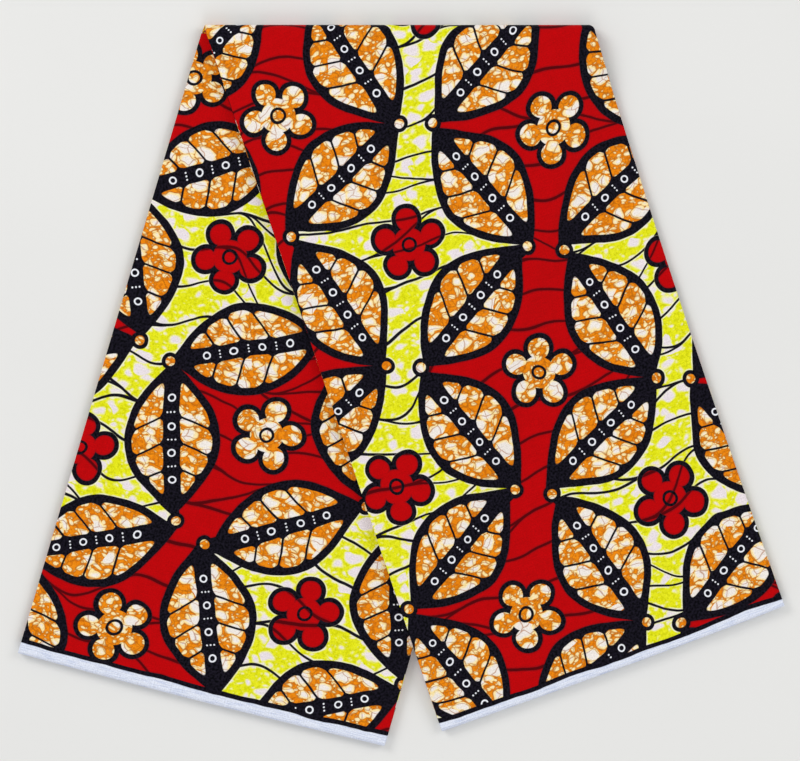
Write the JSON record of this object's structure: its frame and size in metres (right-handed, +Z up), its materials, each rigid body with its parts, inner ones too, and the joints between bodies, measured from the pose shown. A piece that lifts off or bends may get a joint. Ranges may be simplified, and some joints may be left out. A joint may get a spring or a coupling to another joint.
{
  "type": "folded wax print fabric",
  "caption": "Length of wax print cotton, folded into a narrow strip and turned over once, laid flat as an upside-down V with both selvedges at its hems.",
  "frame": {"origin": "on the floor, at the middle of the part's box", "axes": "+Z up from the floor, +Y from the two hems towards the fold at the top of the V, +X along that fold, towards the front leg"},
  "size_m": [0.6486, 0.61, 0.0147],
  "materials": {
    "printed_cotton": "plain weave cotton, wax printed in red, yellow, orange, cream and blue-black, with a light glaze",
    "folded_cotton": "the same printed cotton in folded plies, with white selvedges at both hems"
  },
  "bodies": {
    "root": {"front_face": "printed_cotton", "front_layers": "folded_cotton", "back_face": "printed_cotton", "back_layers": "folded_cotton", "turn_layers": "folded_cotton"}
  },
  "joints": []
}
